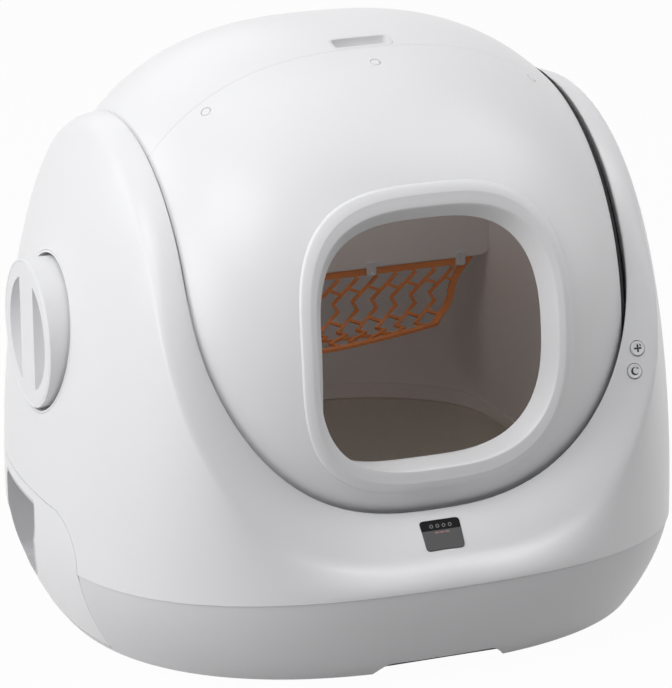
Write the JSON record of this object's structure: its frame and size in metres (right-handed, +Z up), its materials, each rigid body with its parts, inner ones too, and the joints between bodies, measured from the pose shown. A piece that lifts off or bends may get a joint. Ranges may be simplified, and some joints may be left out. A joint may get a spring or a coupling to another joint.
{
  "type": "self cleaning litter box",
  "caption": "Self cleaning litter box: a turning drum with a rounded square entrance, held between the arms of a white cradle, with a side waste drawer and a lock knob.",
  "frame": {"origin": "on the floor, under the middle of the object's bounding box", "axes": "+Z up, -Y towards the entrance, +X to the right as seen from the front; the drum's axis runs along X"},
  "size_m": [0.5635, 0.59, 0.516],
  "materials": {
    "white_shell": "satin white",
    "white_trim": "satin white",
    "grey_skirt": "satin light grey",
    "grey_inner": "matte light grey",
    "dark_plastic": "matte dark grey",
    "liner_grey": "fine matte",
    "black_plastic": "matte black",
    "orange_sieve": "satin orange",
    "smoked_lens": "polished smoked",
    "circuit_board": "solder mask",
    "steel": "zinc plated",
    "rubber_foot": "matte"
  },
  "bodies": {
    "base": {"cradle_shell": "white_shell", "base_skirt": "grey_skirt", "base_plate": "dark_plastic", "drum_basin": "grey_inner", "arm_panel_left": "grey_inner", "arm_panel_right": "grey_inner", "axle_bush_left": "dark_plastic", "axle_bush_right": "dark_plastic", "knob_well": "grey_inner", "rear_cover": "white_shell", "control_board": "circuit_board", "display_board": "circuit_board", "button_board": "circuit_board", "display_lens": "smoked_lens", "power_jack": "black_plastic", "motor_bracket": "steel", "gear_motor": "steel", "drawer_rail_front": "steel", "drawer_rail_rear": "steel", "foot_front_left": "rubber_foot", "foot_front_right": "rubber_foot", "foot_rear_left": "rubber_foot", "foot_rear_right": "rubber_foot"},
    "drum": {"drum_front_shell": "white_shell", "drum_rear_shell": "white_shell", "entrance_bezel": "white_trim", "handle_cup": "grey_inner", "seam_plug_left": "white_trim", "seam_plug_middle": "white_trim", "seam_plug_right": "white_trim", "divider_wall": "grey_inner", "sieve": "orange_sieve", "litter_liner": "liner_grey", "drum_ring_gear": "black_plastic", "drum_end_cap_left": "white_trim", "drum_end_cap_right": "white_trim"},
    "pinion": {"drive_pinion": "steel"},
    "knob": {"lock_knob": "white_trim", "knob_spindle": "steel"},
    "drawer": {"drawer_front": "white_shell", "drawer_grip": "grey_inner", "drawer_tub": "grey_inner", "bag_ring": "dark_plastic"},
    "upper_button": {"upper_button": "white_trim"},
    "lower_button": {"lower_button": "white_trim"}
  },
  "joints": [
    {"name": "drum_turn", "type": "hinge", "parent": "base", "child": "drum", "pos_m": [0, -0.03, 0.266], "axis": [-1, 0, 0], "range_deg": [-30, 220]},
    {"name": "pinion_turn", "type": "hinge", "parent": "base", "child": "pinion", "pos_m": [0.2, 0.06625, 0.09929], "axis": [-1, 0, 0], "range_deg": [-1800, 250]},
    {"name": "lock_knob_turn", "type": "hinge", "parent": "base", "child": "knob", "pos_m": [-0.27, -0.03, 0.266], "axis": [-1, 0, 0], "range_deg": [0, 90]},
    {"name": "drawer_slide", "type": "slide", "parent": "base", "child": "drawer", "axis": [-1, 0, 0], "range_m": [0, 0.4]},
    {"name": "upper_button_press", "type": "slide", "parent": "base", "child": "upper_button", "axis": [0.032, 0.9396, -0.3409], "range_m": [0, 0.001], "stiffness_N_per_m": 500, "springref_m": -0.0005},
    {"name": "lower_button_press", "type": "slide", "parent": "base", "child": "lower_button", "axis": [0.0668, 0.9404, -0.3335], "range_m": [0, 0.001], "stiffness_N_per_m": 500, "springref_m": -0.0005}
  ],
  "couplings": [
    {"joint": "pinion_turn", "follows": "drum_turn", "ratio": -8.1667}
  ]
}
